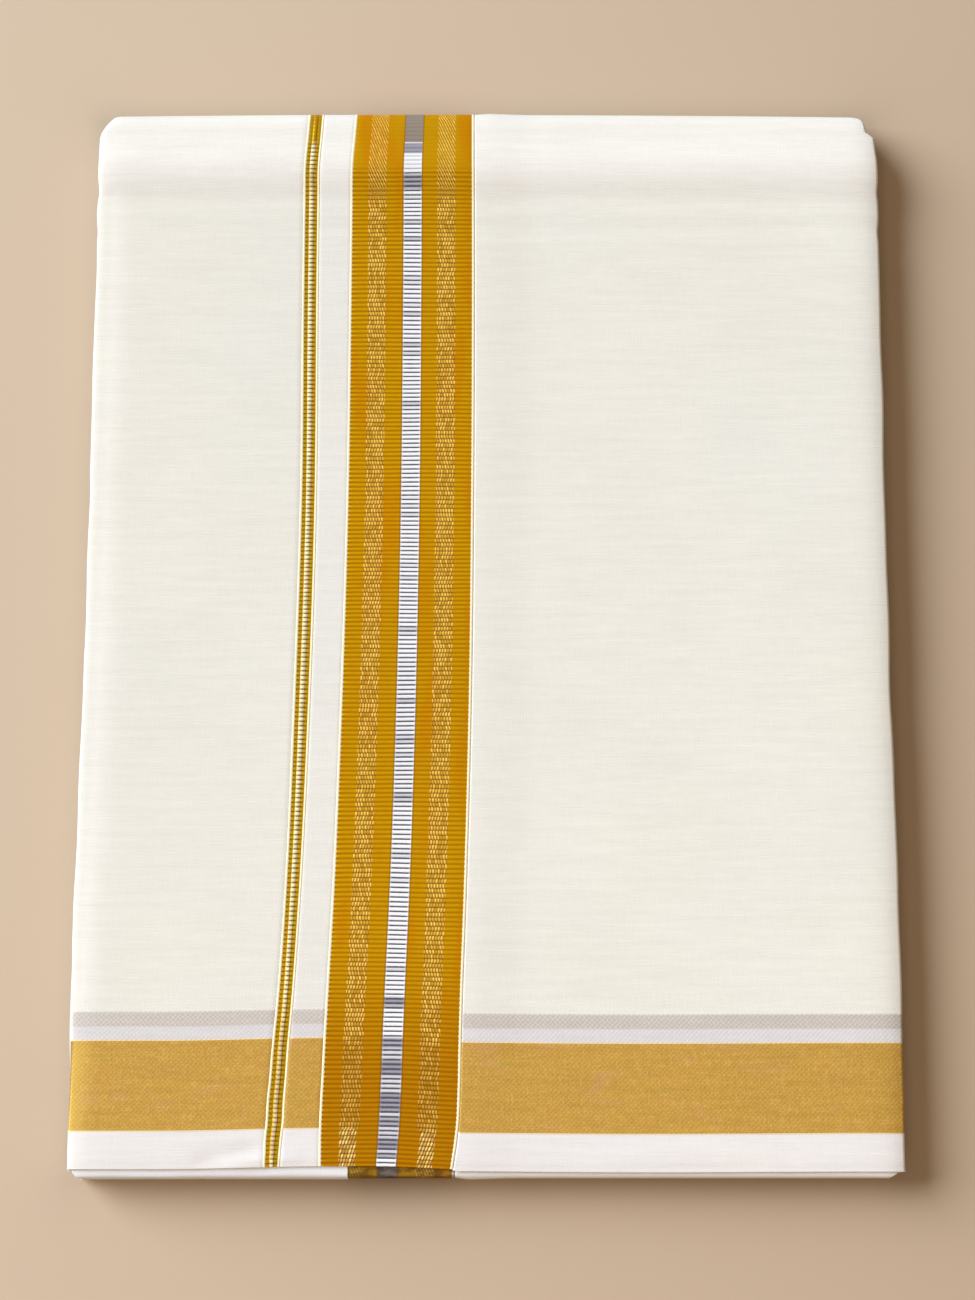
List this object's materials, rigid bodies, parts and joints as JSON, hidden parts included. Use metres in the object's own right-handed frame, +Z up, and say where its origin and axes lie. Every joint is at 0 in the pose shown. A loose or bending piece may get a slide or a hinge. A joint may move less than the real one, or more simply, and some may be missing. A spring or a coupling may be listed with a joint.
{
  "type": "folded dhoti cloth",
  "caption": "Cream cotton dhoti cloth folded into a flat stack, with a wide gold border, a narrow gold line, a gold end band and a plain hem.",
  "frame": {"origin": "middle of the stack's flat underside", "axes": "+X to the right, from the folded edge with the flap to the far folded edge; +Y along the stack, from the hem to the round far end; +Z up from the flat underside"},
  "size_m": [0.3197, 0.434, 0.0175],
  "materials": {
    "cotton": "fine plain weave, matt",
    "gold_border": "ribbed metallic gold weave, satin",
    "gold_line": "ribbed metallic gold line with cream dots, satin",
    "gold_band": "metallic gold tissue weave, satin",
    "silver_stripe": "silver thread stripe beside plain cotton, satin"
  },
  "bodies": {
    "root": {"end_band_flap": "gold_band", "end_band_panel": "gold_band", "end_band_strip": "gold_band", "end_stripe_flap": "silver_stripe", "end_stripe_panel": "silver_stripe", "end_stripe_strip": "silver_stripe", "far_flap": "cotton", "far_narrow_border": "gold_line", "far_panel": "cotton", "far_strip": "cotton", "far_wide_border": "gold_border", "hem_flap": "cotton", "hem_panel": "cotton", "hem_strip": "cotton", "hidden_layers": "cotton", "near_flap": "cotton", "near_narrow_border": "gold_line", "near_panel": "cotton", "near_strip": "cotton", "near_wide_border": "gold_border", "top_flap": "cotton", "top_narrow_border": "gold_line", "top_panel": "cotton", "top_strip": "cotton", "top_wide_border": "gold_border", "under_flap": "cotton", "under_narrow_border": "gold_line", "under_panel": "cotton", "under_strip": "cotton", "under_wide_border": "gold_border"}
  },
  "joints": []
}
